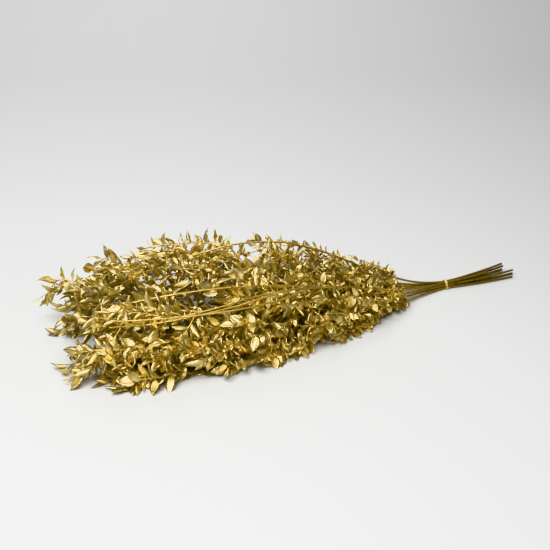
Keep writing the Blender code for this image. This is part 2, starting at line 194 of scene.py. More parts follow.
# The spray's patches and grit: their scale, what they add to roughness, and what tones do to the value
PATCH_SCALE, GRIT_SCALE = 130.0, 1500.0
PATCH_ROUGHNESS, GRIT_ROUGHNESS = 0.26, 0.12
THIN_PATCHES = (0.52, 0.72)
TONE_SPAN, TONE_LEAST = 0.70, 0.37
GILT_METALLIC = 0.92
RIB_HALF_WIDTH, VEIN_RELIEF = 0.09, 0.30
GRAIN_SCALE = (9.0, 60.0, 1.0)

# The stage: what the camera looks at, and how far from there things lie to its right, towards it and up
VIEW_TARGET = (0.3368, 0.1213, 0.0)
LIGHT_SIZE = 1.2
KEY_PLACE = (-0.36, 0.95, 1.35)
BACK_PLACE = (-0.5, -1.2, 1.7)
BACK_AIM = (0.0, -1.4, 0.0)
SKY_HEIGHTS = (0.1, 0.9)
SWEEP_FRONT, SWEEP_REAR, SWEEP_BEND, SWEEP_TOP, SWEEP_REACH = -2.2, 1.1, 1.2, 2.6, 3.0
SWEEP_TURNS = 25
SWEEP_SHADE = 0.985


def unit(vectors):
    """The same directions at length 1."""
    return vectors / np.maximum(np.linalg.norm(vectors, axis=-1, keepdims=True), 1e-12)


def soft_floor(values):
    """softness times ln(1 + e^(value / softness)): high values stay and low ones ease down towards 0."""
    return SETTLE_SOFTNESS * np.logaddexp(0.0, values / SETTLE_SOFTNESS)


def stem_radius(stem, along):
    """A stem keeps its radius to the tie, and tapers evenly from there to its tip."""
    share = np.clip((along - TIE_ALONG) / (stem.tip_along - TIE_ALONG), 0, None)
    return STEM_RADIUS + (STEM_RADIUS_TIP - STEM_RADIUS) * share


def eased_run(distance):
    """The root of distance squared plus ease squared, less the ease: the run from the tie, begun gently."""
    return np.sqrt(distance**2 + TIE_EASE**2) - TIE_EASE


def stem_line(stem, along):
    """A stem's centre: slot + (tip - slot) times its eased share of the way, and a sine-squared arch and bow.

    To the cut ends it fans out from its slot in the same way, and sways aside by the share squared.
    """
    along = np.asarray(along, float)
    slot_across = stem.slot * SLOT_PITCH
    slot_height = SLOT_HEIGHT + stem.row * ROW_PITCH
    cut_height = STEM_RADIUS + stem.row * CUT_RISE
    before = eased_run(np.clip(TIE_ALONG - along, 0, None)) / eased_run(TIE_ALONG)
    after = eased_run(np.clip(along - TIE_ALONG, 0, None)) / eased_run(stem.tip_along - TIE_ALONG)
    swell = np.sin(math.pi * np.clip(after, 0, 1)) ** 2
    fan = (1 + FAN_EARLY) * after - FAN_EARLY * after**3
    across = slot_across + slot_across * (CUT_FAN - 1) * before + CUT_SWAY * before**2
    across = across + (stem.tip_across - slot_across) * fan + stem.bow * swell
    height = slot_height + (cut_height - slot_height) * before
    height = height + (stem.tip_height - slot_height) * after**1.5 + stem.arch * swell
    return np.stack([along, across, height], axis=-1)


def outline(along, across):
    """The heap's half breadth and its height there, lowered by DOME times (across / half breadth) squared."""
    side = np.interp(along, OUTLINE_ALONG, OUTLINE_HALF_BREADTH)
    top = np.interp(along, OUTLINE_ALONG, OUTLINE_HEIGHT) * (1 - DOME * np.clip(across / side, -1, 1) ** 2)
    return side, top


def settled(points, headroom):
    """Loose growth pressed into the heap's outline by the soft floor, from above and from both sides."""
    along, across, height = np.moveaxis(points, -1, 0)
    side, top = outline(along, across)
    top = top * headroom
    height = top - soft_floor(top - height)
    height = TWIG_RADIUS_ROOT + GAP + soft_floor(height)
    across = np.sign(across) * (side - soft_floor(side - np.abs(across)))
    return np.stack([along, across, height], axis=-1)


def tone_with_depth_shade(points, chance):
    """Growth's tone here, 0 to 1: partly by chance, and partly painted shade, darker the deeper it lies in the
    heap.

    How far out is the greater of height / top and distance aside / half breadth, eased over DEPTH_SHADE_REACH.
    """
    along, across, height = np.moveaxis(points, -1, 0)
    side, top = outline(along, across)
    low, high = DEPTH_SHADE_REACH
    out = np.clip((np.maximum(height / top, np.abs(across) / side) - low) / (high - low), 0, 1)
    return TONE_CHANCE * chance + (1 - TONE_CHANCE) * out * out * (3 - 2 * out)


class Twig:
    """A side shoot: it leaves its stem at an angle and curves forwards, to the tips of the bunch."""

    def __init__(self, root, aim, bend, length, headroom):
        self.root, self.aim, self.bend = root, aim, bend
        self.length, self.headroom = length, headroom

    def line(self, shares):
        """Its centre at shares of its length: root + aim t + bend t squared, settled more and more."""
        shares = np.asarray(shares, float)[..., None]
        loose = self.root + self.length * (self.aim * shares + self.bend * shares**2)
        return loose + (settled(loose, self.headroom) - loose) * np.clip(3 * shares, 0, 1)


class SideStem:
    """A bare branch of a stem: a parabola through its root, middle and end that lies loose on the heap."""

    def __init__(self, root, middle, end):
        self.root, self.middle, self.end = root, middle, end
        self.length = np.linalg.norm(end - root)

    def line(self, shares):
        """Its centre at shares t: root + (4 middle - 3 root - end) t + 2 (root - 2 middle + end) t^2."""
        shares = np.asarray(shares, float)[..., None]
        slope = 4 * self.middle - 3 * self.root - self.end
        return self.root + slope * shares + 2 * (self.root - 2 * self.middle + self.end) * shares**2


def twig_beside(stem, along, turn, spread, length, lift, headroom=1.0):
    """The twig that leaves a stem at this turn about it, spread out from it by that angle."""
    root = stem_line(stem, along)
    forward = unit(stem_line(stem, along + TANGENT_STEP) - root)
    return side_shoot(root, forward, turn, spread, length, lift, headroom)


def side_shoot(root, forward, turn, spread, length, lift, headroom):
    """A shoot from a root: cos spread forwards + sin spread outwards, and then bent forwards again."""
    out = unit(np.cross(forward, [0.0, 0.0, 1.0]))
    over = np.cross(out, forward)
    radial = math.cos(turn) * out + math.sin(turn) * over
    aim = math.cos(spread) * forward + math.sin(spread) * radial
    bend = TWIG_SWEEP * (forward - aim) + np.array([0.0, 0.0, lift])
    return Twig(root, aim, bend, length, headroom)


def twig_places(stem):
    """Where a stem's twigs grow: closest together at the first, and farther apart towards the tip."""
    leafy = stem.tip_along - BARE_TIP - stem.bare
    count = int(round(leafy / stem.spacing))
    return stem.bare + leafy * np.linspace(0, 1, count) ** TWIG_CROWDING


@lru_cache(maxsize=None)
def grow_twigs():
    """Every stem's twigs, each turned about it until it is clear of all that grew before, or left out."""
    marks = [stem_line(stem, np.arange(stem.cut, stem.tip_along, MARK_SPACING)) for stem in STEMS]
    twigs = []
    for index, stem in enumerate(STEMS):
        draw = np.random.RandomState(SEED + index)
        turn = draw.uniform(0, 2 * math.pi)
        own = []
        for along in twig_places(stem):
            turn += GOLDEN_TURN + draw.uniform(-TURN_SCATTER, TURN_SCATTER)
            spread = draw.uniform(*TWIG_SPREAD)
            scale = draw.uniform(*TWIG_SCALE)
            lift = draw.uniform(*TWIG_LIFT)
            place = (stem.bare, TWIG_MIDDLE_ALONG, stem.tip_along)
            stage = np.interp(along, place, (0, 1, 2))
            length = scale * np.interp(stage, (0, 1, 2), TWIG_LENGTHS)
            for attempt in range(TWIG_TRIES):
                twig = twig_beside(stem, along, turn + attempt * TRY_TURN, spread, length, lift)
                samples = twig.line(np.linspace(0.0, 1.0, TWIG_MARKS))
                others = np.concatenate(marks[:index] + marks[index + 1 :])
                apart = np.linalg.norm(samples[:, None] - others[None], axis=-1).min()
                beside = np.linalg.norm(samples[MARKS_AT_ROOT:, None] - marks[index][None], axis=-1).min()
                if min(apart, beside) > TWIG_CLEARANCE:
                    own.append(twig)
                    marks[index] = np.concatenate([marks[index], samples])
                    break
        twigs.append(own)
    return twigs


def leaf_half_width(share):
    """How wide a leaf is at a share of its length: share to the one power times (1 - share) to the other.

    It is divided by its greatest value, which lies at the first power / (the sum of both).
    """
    base, tip = LEAF_POWERS
    widest = base / (base + tip)
    greatest = widest**base * (1 - widest) ** tip
    return np.maximum(share, 0) ** base * np.maximum(1 - share, 0) ** tip / greatest


def leaf_points(leaves, shares, sides):
    """Points on every leaf's plain middle surface, at shares of its length and sides from -1 to 1.

    A point lies share times the length along the leaf and side times the half width across it. It is
    lifted by the curl times the share squared and by the cup times the side squared.
    """
    half = leaves["width"][:, None] / 2 * leaf_half_width(shares)
    run = leaves["length"][:, None] * shares
    lift = run * leaves["curl"][:, None] * shares + half * leaves["cup"][:, None] * sides**2
    return (
        leaves["base"][:, None]
        + leaves["aim"][:, None] * run[..., None]
        + leaves["side"][:, None] * (half * sides)[..., None]
        + leaves["face"][:, None] * lift[..., None]
    )


def lay_on_surface(leaves):
    """Leaves that reach below the surface are turned up and flattened, by degrees, until they lie on it."""
    shares = np.array([0.3, 0.3, 0.66, 0.66, 1.0])
    sides = np.array([1.0, -1.0, 1.0, -1.0, 0.0])
    for _ in range(LAY_ROUNDS):
        lowest = leaf_points(leaves, shares, sides)[..., 2].min(axis=1)
        short = np.maximum(LEAF_THICKNESS / 2 - lowest, 0)[:, None]
        sinks = short > 0
        aim = unit(leaves["aim"] + np.array([0.0, 0.0, 1.0]) * short / leaves["length"][:, None])
        side = leaves["side"] * np.where(sinks, [1.0, 1.0, LAY_FLATTEN], 1.0)
        leaves["face"] = unit(np.cross(aim, side))
        leaves["side"] = np.cross(leaves["face"], aim)
        leaves["aim"] = aim
        for key in ("curl", "cup"):
            leaves[key] = leaves[key] * np.where(sinks[:, 0], LAY_SOFTEN, 1.0)
    return leaves


def leaf_row(twig, draw, stem, spacing, scale):
    """The leaves of one twig: in two alternate rows along it, with one at its end."""
    count = max(LEAST_LEAVES, int(round(twig.length * (1 - LEAF_FIRST_SHARE) / spacing)) + 1)
    shares = np.linspace(LEAF_FIRST_SHARE, 1.0, count)
    base = twig.line(shares)
    forward = unit(base - twig.line(shares - SHARE_STEP))
    first = unit(np.cross(forward, [0.2, 0.1, 1.0]))
    second = np.cross(forward, first)
    chance = draw.uniform(-1, 1, (count, 7))
    turn = (draw.uniform(0, math.pi) + math.pi * np.arange(count) + LEAF_TURN_SCATTER * chance[:, 0])[:, None]
    radial = np.cos(turn) * first + np.sin(turn) * second
    spread = (LEAF_SPREAD + LEAF_SPREAD_SCATTER * chance[:, 1])[:, None]
    spread[-1] = END_LEAF_SPREAD
    aim = np.cos(spread) * forward + np.sin(spread) * radial
    face = np.sin(spread) * forward - np.cos(spread) * radial
    twist = (LEAF_TWIST * chance[:, 2])[:, None]
    side = np.cos(twist) * np.cross(face, aim) + np.sin(twist) * face
    growth = np.interp(base[:, 0], LEAF_GROWTH_ALONG, LEAF_GROWTH)
    length = scale * stem.leaf * growth * (1 + LEAF_LENGTH_SCATTER * chance[:, 3])
    # The part draws here which leaves its solids take first, and this keeps the next row's draws the same
    draw.uniform(0, 0.5)
    return {
        "base": base,
        "aim": aim,
        "side": side,
        "face": np.cross(aim, side),
        "length": length,
        "width": length * stem.breadth * (1 + LEAF_WIDTH_SCATTER * chance[:, 4]),
        "cup": LEAF_CUP + LEAF_CUP_SCATTER * chance[:, 5],
        "curl": LEAF_CURL + LEAF_CURL_SCATTER * chance[:, 6],
    }


def grow_leaves(shoots, seed, stem, spacing, scale):
    """The leaves of one stem's twigs or sprigs, as the part grows the twigs', all laid on the surface."""
    draw = np.random.RandomState(seed)
    rows = [leaf_row(shoot, draw, stem, spacing, scale) for shoot in shoots]
    return lay_on_surface({key: np.concatenate([row[key] for row in rows]) for key in rows[0]})


def grow_sprigs(index):
    """One stem's short sprigs: some beside each of its twigs, and some on the stem between them."""
    stem = STEMS[index]
    draw = np.random.RandomState(SEED + 400 + index)
    sprigs = []
    for twig in grow_twigs()[index]:
        for middle in SPRIG_SHARES:
            share = middle + draw.uniform(-SPRIG_SHARE_SCATTER, SPRIG_SHARE_SCATTER)
            root = twig.line(share)
            forward = unit(twig.line(share + SHARE_STEP) - root)
            length = twig.length * draw.uniform(*SPRIG_SCALE)
            turn = draw.uniform(0, 2 * math.pi)
            spread = draw.uniform(*SPRIG_SPREAD)
            lift = draw.uniform(*TWIG_LIFT)
            sprigs.append(side_shoot(root, forward, turn, spread, length, lift, SPRIG_HEADROOM))
    first, last = STEM_SPRIG_STRETCH.get(index, (stem.bare - STEM_SPRIGS_LEAD, STEM_SPRIGS_END))
    for along in np.arange(first, last, STEM_SPRIG_SPACING):
        along += draw.uniform(0, STEM_SPRIG_SPACING)
        turn = draw.uniform(0, 2 * math.pi)
        spread = draw.uniform(*SPRIG_SPREAD)
        length = draw.uniform(*STEM_SPRIG_LENGTH)
        lift = draw.uniform(*TWIG_LIFT)
        sprigs.append(twig_beside(stem, along, turn, spread, length, lift, SPRIG_HEADROOM))
    return sprigs


def side_stems(index):
    """One stem's bare branches."""
    stem = STEMS[index]
    rows = [row[1:] for row in SIDE_STEMS if row[0] == index]
    return [SideStem(stem_line(stem, along), np.array(middle), np.array(end)) for along, middle, end in rows]


def placed(points):
    """Points given as along, across and height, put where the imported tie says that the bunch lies.

    The tie's middle is TIE_ALONG from the cut ends and at 0 across.
    """
    shift_x = (TIE_LOW[0] + TIE_HIGH[0]) / 2 + TIE_ALONG
    shift_y = (TIE_LOW[1] + TIE_HIGH[1]) / 2
    return points * [-1.0, 1.0, 1.0] + [shift_x, shift_y, 0.0]


class Skins:
    """Closed skins, gathered into arrays: points, faces, and a place on the skin for each face's corners."""

    def __init__(self):
        self.points, self.tones, self.quads, self.tris = [], [], [], []
        self.quad_places, self.tri_places, self.materials = [], [], []
        self.count = 0

    def add(self, rings, start, end, around, lengthwise, tone, material):
        """Adds skins given by rings of points [skin, ring, point, xyz] and the points that close both ends.

        Point k of ring i lies at (around k, lengthwise i) on the skin. A quad joins two rings at two points,
        and a triangle joins an end ring to its closing point, all turned to face outwards.
        """
        skins, ring_count, sides, _ = rings.shape
        size = ring_count * sides + 2
        k = np.arange(sides)
        after = (k + 1) % sides
        ring = np.arange(ring_count - 1)[:, None]
        here, ahead = ring * sides, (ring + 1) * sides
        quad = np.stack([here + k, ahead + k, ahead + after, here + after], -1)
        left, right = around[:-1], around[1:]
        quad_u = np.stack([left, left, right, right], -1)
        quad_v = lengthwise[:, ring[..., None] + [0, 1, 1, 0]]
        last = (ring_count - 1) * sides
        head = np.stack([np.full(sides, size - 2), k, after], -1)
        tail = np.stack([last + k, np.full(sides, size - 1), last + after], -1)
        middle = (left + right) / 2
        tri_u = np.concatenate([np.stack([middle, left, right], -1), np.stack([left, middle, right], -1)])
        tri_v = np.repeat(lengthwise[:, [0, -1], None], sides, axis=1)
        offset = self.count + size * np.arange(skins)[:, None, None]
        closed = np.concatenate([rings.reshape(skins, -1, 3), start[:, None], end[:, None]], axis=1)
        self.points.append(closed.reshape(-1, 3))
        self.quads.append((quad.reshape(1, -1, 4) + offset).reshape(-1, 4))
        self.tris.append((np.concatenate([head, tail]) + offset).reshape(-1, 3))
        self.quad_places.append(np.stack(np.broadcast_arrays(quad_u, quad_v), -1).reshape(-1, 2))
        self.tri_places.append(np.stack(np.broadcast_arrays(tri_u, tri_v), -1).reshape(-1, 2))
        self.tones.append(np.repeat(tone, size))
        self.materials.append((len(self.quads[-1]), len(self.tris[-1]), material))
        self.count += size * skins

    def make(self, name, materials):
        """One mesh object from all the skins, with places as the UV map and tones as an attribute.

        A point that would lie below the surface is laid on it.
        """
        mesh = bpy.data.meshes.new(name)
        quads, tris = np.concatenate(self.quads), np.concatenate(self.tris)
        points = placed(np.concatenate(self.points))
        points[:, 2] = np.maximum(points[:, 2], 0)
        corners = np.concatenate([quads.ravel(), tris.ravel()])
        mesh.vertices.add(len(points))
        mesh.vertices.foreach_set("co", points.ravel())
        mesh.loops.add(len(corners))
        mesh.loops.foreach_set("vertex_index", corners)
        starts = np.concatenate([4 * np.arange(len(quads)), 4 * len(quads) + 3 * np.arange(len(tris))])
        mesh.polygons.add(len(starts))
        mesh.polygons.foreach_set("loop_start", starts)
        slots = [np.full(count, slot) for count, _, slot in self.materials]
        slots += [np.full(count, slot) for _, count, slot in self.materials]
        mesh.polygons.foreach_set("material_index", np.concatenate(slots))
        mesh.update(calc_edges=True)
        places = mesh.uv_layers.new(name="skin")
        places.uv.foreach_set("vector", np.concatenate(self.quad_places + self.tri_places).ravel())
        tones = mesh.attributes.new("tone", "FLOAT", "POINT")
        tones.data.foreach_set("value", np.concatenate(self.tones))
        for material in materials:
            mesh.materials.append(material)
        mesh.shade_smooth()
        if mesh.validate():
            raise RuntimeError(f"{name} had faces that Blender had to mend")
        return add_object(name, mesh)


def add_object(name, data):
    """A new object of the scene that holds this mesh, light or camera."""
    made = bpy.data.objects.new(name, data)
    bpy.context.scene.collection.objects.link(made)
    return made


def tube_rings(lines, radii, sides):
    """Rings round lines [tube, ring, xyz]: centre + radius (cos a across + sin a over), square to the line.

    The directions come from the axis that each line runs least along, so they never turn over.
    """
    tangents = unit(np.gradient(lines, axis=1))
    least = np.abs(lines[:, -1] - lines[:, 0]).argmin(axis=1)
    across = unit(np.cross(tangents, np.eye(3)[least][:, None]))
    over = np.cross(tangents, across)
    angles = np.arange(sides)[None, None, :, None] * 2 * math.pi / sides
    circle = np.cos(angles) * across[:, :, None] + np.sin(angles) * over[:, :, None]
    return lines[:, :, None] + radii[:, :, None, None] * circle


def add_stem(skins, index, size):
    """The stem's skin: a tube on its line, which wanders a little by two sines and swells at each twig."""
    stem = STEMS[index]
    along = np.linspace(stem.cut, stem.tip_along, STEM_RINGS)
    line = stem_line(stem, along)
    free = np.clip((along - TIE_ALONG) / WANDER_EASE, 0, 1)
    aside, upward = WANDER_WAVES
    waves = np.stack([np.sin(aside * along + index), np.sin(upward * along + 2.0 * index)], -1)
    line[:, 1:] += size.stem_wander * free[:, None] * waves
    roots = np.array([twig.root[0] for twig in grow_twigs()[index]])
    swell = np.exp(-(((along[:, None] - roots) / size.node_length) ** 2)).sum(axis=1)
    radius = stem_radius(stem, along) * (1 + size.node_swell * swell)
    around = np.linspace(0, 1, STEM_SIDES + 1)
    rings = tube_rings(line[None], radius[None], STEM_SIDES)
    skins.add(rings, line[None, 0], line[None, -1], around, along[None], np.array([STEM_TONE]), 1)


def add_twigs(skins, twigs, seed, faces):
    """The twigs' skins: tubes from inside what they grow from to the end leaf, tapering evenly."""
    radii, ring_count, sides = faces
    shares = np.linspace(0, 1, ring_count)
    lines = np.stack([twig.line(shares) for twig in twigs])
    lengths = np.array([twig.length for twig in twigs])
    taper = radii[0] + (radii[1] - radii[0]) * shares
    # Their tone is partly chance and partly painted shade, darker the deeper a twig's middle lies in the heap
    tone = tone_with_depth_shade(lines[:, ring_count // 2], np.random.RandomState(seed).uniform(0, 1, len(twigs)))
    around = np.linspace(0, 1, sides + 1)
    rings = tube_rings(lines, taper[None], sides)
    skins.add(rings, lines[:, 0], lines[:, -1], around, lengths[:, None] * shares, tone, 1)


def add_leaves(skins, leaves, seed, size):
    """The leaves' skins: closed lenses on the leaf's middle surface, twisted, waved and curled at the tip.

    At share s and side b, the cross-section is turned by twist times s about the leaf's line. The line is
    lifted by curl s squared + tip curl s to the 4th, and the section by cup |b| to the 1.5th + wave sin(2 pi
    (waves s + phase)) b. The thickness is the full one times the root of 1 - b squared, and more at the base.
    Twist, wave and tip curl are smaller near the surface, where a leaf lies flat.
    """
    count = len(leaves["length"])
    chance = np.random.RandomState(seed).uniform(-1, 1, (count, 5))
    s, b, level = LEAF_ROWS[:, None], LEAF_SIDES, LEAF_LEVELS
    length, width, cup, curl = (leaves[key][:, None, None] for key in ("length", "width", "cup", "curl"))
    half = width / 2 * leaf_half_width(s)
    liveliness = np.clip(leaves["base"][:, 2] / CALM_HEIGHT, CALMEST, 1)[:, None, None]
    tip_curl = size.tip_curl * chance[:, 0, None, None] * liveliness
    wave = size.leaf_wave * chance[:, 1, None, None] * liveliness
    twist = size.leaf_twist * chance[:, 2, None, None] * liveliness * s
    lift = length * (curl * s**2 + tip_curl * s**4)
    waving = np.sin(2 * math.pi * (LEAF_WAVES * s + chance[:, 3, None, None]))
    fold = half * (cup * np.abs(b) ** 1.5 + wave * waving * b)
    body = size.leaf_thickness / 2 * np.sqrt(1 - b**2) * (1 + LEAF_BASE_SWELL * (1 - s) ** 6)
    across = half * b * np.cos(twist) - (fold + level * body) * np.sin(twist)
    upward = half * b * np.sin(twist) + (fold + level * body) * np.cos(twist) + lift
    aim, side, face, base = (leaves[key][:, None, None] for key in ("aim", "side", "face", "base"))
    rings = base + aim * (length * s)[..., None] + side * across[..., None] + face * upward[..., None]
    tip = leaves["length"] * (leaves["curl"] + tip_curl[:, 0, 0])
    ends = leaves["base"] + leaves["aim"] * leaves["length"][:, None] + leaves["face"] * tip[:, None]
    rings[..., 2] = np.maximum(rings[..., 2], size.leaf_thickness * (0.5 + 0.45 * level))
    ends[:, 2] = np.maximum(ends[:, 2], size.leaf_thickness / 2)
    around = np.append(LEAF_SIDES, 1.0) / 2 + 0.5
    lengthwise = np.repeat(LEAF_ROWS[None], count, axis=0)
    # Each leaf's tone is partly chance and partly painted shade, darker the deeper its tip lies in the heap
    skins.add(rings, leaves["base"], ends, around, lengthwise, tone_with_depth_shade(ends, (chance[:, 4] + 1) / 2), 0)


def tie_point(distance, place):
    """Across and height of a place round the outer stems, this far out: corner + distance (cos a, sin a)."""
    corners = np.array(TIE_CORNERS, float)
    which = place // TIE_CORNER_POINTS
    share = (place % TIE_CORNER_POINTS) / (TIE_CORNER_POINTS - 1)
    turn = np.radians(corners[which, 2] + corners[which, 3] * share)
    across = corners[which, 0] * SLOT_PITCH + distance * np.cos(turn)
    height = SLOT_HEIGHT + corners[which, 1] * ROW_PITCH + distance * np.sin(turn)
    return across, height


def new_socket_group(name, inputs, outputs):
    """An empty shader node group with named inputs and outputs, and its input and output nodes."""
    group = bpy.data.node_groups.new(name, "ShaderNodeTree")
    for label, kind, default in inputs:
        socket = group.interface.new_socket(label, in_out="INPUT", socket_type="NodeSocket" + kind)
        if default is not None:
            socket.default_value = default
    for label, kind in outputs:
        group.interface.new_socket(label, in_out="OUTPUT", socket_type="NodeSocket" + kind)
    return group, group.nodes.new("NodeGroupInput"), group.nodes.new("NodeGroupOutput")


def node(tree, kind, settings=None, **inputs):
    """A new node; settings are its own properties, and inputs are values or sockets to link from."""
    made = tree.nodes.new(kind)
    for key, value in (settings or {}).items():
        setattr(made, key, value)
    for key, value in inputs.items():
        socket = made.inputs[int(key[1:])] if key[0] == "i" and key[1:].isdigit() else made.inputs[key]
        if isinstance(value, bpy.types.NodeSocket):
            tree.links.new(value, socket)
        else:
            socket.default_value = value
    return made


def math_node(tree, operation, first, second=0.0, third=0.0):
    """The output of one Math node."""
    return node(tree, "ShaderNodeMath", {"operation": operation}, i0=first, i1=second, i2=third).outputs[0]


def ramp(tree, value, low, high):
    """A value brought from low..high to 0..1, held at both ends."""
    made = node(tree, "ShaderNodeMapRange", {"interpolation_type": "SMOOTHSTEP"}, i0=value, i1=low, i2=high)
    return made.outputs["Result"]


def mix_colour(tree, share, first, second):
    """Two colours mixed by a share."""
    return node(tree, "ShaderNodeMix", {"data_type": "RGBA"}, i0=share, i6=first, i7=second).outputs[2]


def spray_mottle_group():
    """Spray paint on dry growth: thick and thin patches, pieces lighter or darker by chance and by painted
    shade, fine grit.
    """
    group, given, result = new_socket_group(
        "Spray Mottle",
        (
            ("Place", "Vector", None),
            ("Paint", "Color", (0.7, 0.5, 0.15, 1)),
            ("Thin Paint", "Color", (0.3, 0.2, 0.05, 1)),
            ("Tone", "Float", 0.5),
            ("Thinness", "Float", 0.3),
            ("Roughness", "Float", 0.4),
        ),
        (("Colour", "Color"), ("Roughness", "Float"), ("Grit", "Float")),
    )
    patches = node(group, "ShaderNodeTexNoise", Vector=given.outputs["Place"], Scale=PATCH_SCALE, Detail=3.0)
    grit = node(group, "ShaderNodeTexNoise", Vector=given.outputs["Place"], Scale=GRIT_SCALE, Detail=2.0)
    thin = ramp(group, patches.outputs["Fac"], *THIN_PATCHES)
    thin = math_node(group, "MULTIPLY", thin, given.outputs["Thinness"])
    colour = mix_colour(group, thin, given.outputs["Paint"], given.outputs["Thin Paint"])
    # The tone sets the value: on leaves and twigs it holds painted shade, darker deep in the heap, as well as
    # chance
    value = math_node(group, "MULTIPLY_ADD", given.outputs["Tone"], TONE_SPAN, TONE_LEAST)
    shade = node(group, "ShaderNodeHueSaturation", Value=value, Color=colour)
    rough = given.outputs["Roughness"]
    for noise, span in ((patches, PATCH_ROUGHNESS), (grit, GRIT_ROUGHNESS)):
        rougher = math_node(group, "MULTIPLY_ADD", noise.outputs["Fac"], span, -span / 2)
        rough = math_node(group, "ADD", rough, rougher)
    group.links.new(shade.outputs["Color"], result.inputs["Colour"])
    group.links.new(rough, result.inputs["Roughness"])
    group.links.new(grit.outputs["Fac"], result.inputs["Grit"])
    return group


def gilt_material(name, mottle, paint, thin_paint, thinness, roughness):
    """A gold-sprayed material: its tree, the mottle's node and the principled shader, wired together."""
    material = bpy.data.materials.new(name)
    material.use_nodes = True
    tree = material.node_tree
    surface = tree.nodes["Principled BSDF"]
    surface.inputs["Metallic"].default_value = GILT_METALLIC
    place = tree.nodes.new("ShaderNodeTexCoord")
    tone = node(tree, "ShaderNodeAttribute", {"attribute_name": "tone"})
    spray = node(
        tree,
        "ShaderNodeGroup",
        {"node_tree": mottle},
        Place=place.outputs["Object"],
        Paint=(*paint, 1),
        Thinness=thinness,
        Roughness=roughness,
        Tone=tone.outputs["Fac"],
    )
    spray.inputs["Thin Paint"].default_value = (*thin_paint, 1)
    tree.links.new(spray.outputs["Colour"], surface.inputs["Base Color"])
    tree.links.new(spray.outputs["Roughness"], surface.inputs["Roughness"])
    return material, tree, place, spray, surface


def bump(tree, surface, height, distance, before=None):
    """A Bump node of this depth in metres on the way to the shader's normal."""
    made = node(tree, "ShaderNodeBump", Height=height, Distance=distance, Strength=1.0)
    if before:
        tree.links.new(before.outputs["Normal"], made.inputs["Normal"])
    tree.links.new(made.outputs["Normal"], surface.inputs["Normal"])
    return made


def leaf_material(paints, mottle):
    """Gilded leaf: parallel veins that run from base to tip, a raised midrib, and fine grit of paint."""
    finish = (paints.leaf_gold, paints.thin_gold, paints.leaf_thinness, paints.leaf_roughness)
    material, tree, _, spray, surface = gilt_material("gilt_leaf", mottle, *finish)
    skin = node(tree, "ShaderNodeUVMap", {"uv_map": "skin"})
    parts = node(tree, "ShaderNodeSeparateXYZ", Vector=skin.outputs["UV"])
    side = math_node(tree, "ABSOLUTE", math_node(tree, "SUBTRACT", parts.outputs["X"], 0.5))
    veins = math_node(tree, "SINE", math_node(tree, "MULTIPLY", side, 2 * math.pi * paints.vein_count))
    rib = ramp(tree, side, RIB_HALF_WIDTH, 0.0)
    relief = math_node(tree, "MULTIPLY_ADD", veins, VEIN_RELIEF, rib)
    first = bump(tree, surface, relief, paints.vein_depth)
    bump(tree, surface, spray.outputs["Grit"], paints.grit_depth, before=first)
    return material


def wood_material(paints, mottle):
    """Gilded stem: fine ridges along it, and colour that turns darker and browner towards the cut ends."""
    finish = (paints.wood_gold, paints.bare_wood, paints.wood_thinness, paints.wood_roughness)
    material, tree, place, spray, surface = gilt_material("gilt_wood", mottle, *finish)
    parts = node(tree, "ShaderNodeSeparateXYZ", Vector=place.outputs["Object"])
    # Towards the cut ends the colour turns darker and browner: more thin patches, and a mix towards the
    # bare-wood colour
    fade = ramp(tree, parts.outputs["X"], paints.fade_from, paints.fade_to)
    thinness = math_node(tree, "MULTIPLY_ADD", fade, paints.cut_end_thinness, paints.wood_thinness)
    tree.links.new(thinness, spray.inputs["Thinness"])
    dark_share = math_node(tree, "MULTIPLY", fade, paints.cut_end_darkening)
    darker_colour = mix_colour(tree, dark_share, spray.outputs["Colour"], (*paints.bare_wood, 1))
    tree.links.new(darker_colour, surface.inputs["Base Color"])
    skin = node(tree, "ShaderNodeUVMap", {"uv_map": "skin"})
    fibres = node(tree, "ShaderNodeMapping", Vector=skin.outputs["UV"])
    fibres.inputs["Scale"].default_value = GRAIN_SCALE
    grain = node(tree, "ShaderNodeTexNoise", Vector=fibres.outputs["Vector"], Scale=1.0, Detail=3.0)
    first = bump(tree, surface, grain.outputs["Fac"], paints.grain_depth)
    bump(tree, surface, spray.outputs["Grit"], paints.grit_depth, before=first)
    return material


def number(name, description, default, **kind):
    """A number that a user might change."""
    return FloatProperty(name=name, description=description, default=default, **kind)


def metres(name, description, default):
    """A length, shown to a thousandth of a millimetre."""
    return number(name, description, default, unit="LENGTH", precision=6)


def radians(name, description, default):
    """An angle, shown in degrees."""
    return number(name, description, default, subtype="ANGLE")


def rgb(name, description, default):
    """A colour, in linear light."""
    return FloatVectorProperty(name=name, description=description, default=default, subtype="COLOR")


class RuscusSizes(bpy.types.PropertyGroup):
    """Sizes of the fine growth that a user might change."""

    leaf_thickness: metres("Leaf thickness", "Thickness in the middle of a leaf", 0.0004)
    leaf_twist: radians("Leaf twist", "Most that a dried leaf turns about its line", 0.9)
    leaf_wave: number("Leaf wave", "Height of the waves of a leaf's rim, by its half width", 0.32)
    tip_curl: number("Tip curl", "Most that a leaf's tip curls, by its length", 0.36)
    stem_wander: metres("Stem wander", "How far a stem wanders from its line", 0.0004)
    node_length: metres("Node length", "Length of the swelling where a twig grows", 0.0028)
    node_swell: number("Node swelling", "Swelling there, by the radius", 0.28)
    tie_turns: number("Tie turns", "Turns of elastic side by side", 3)


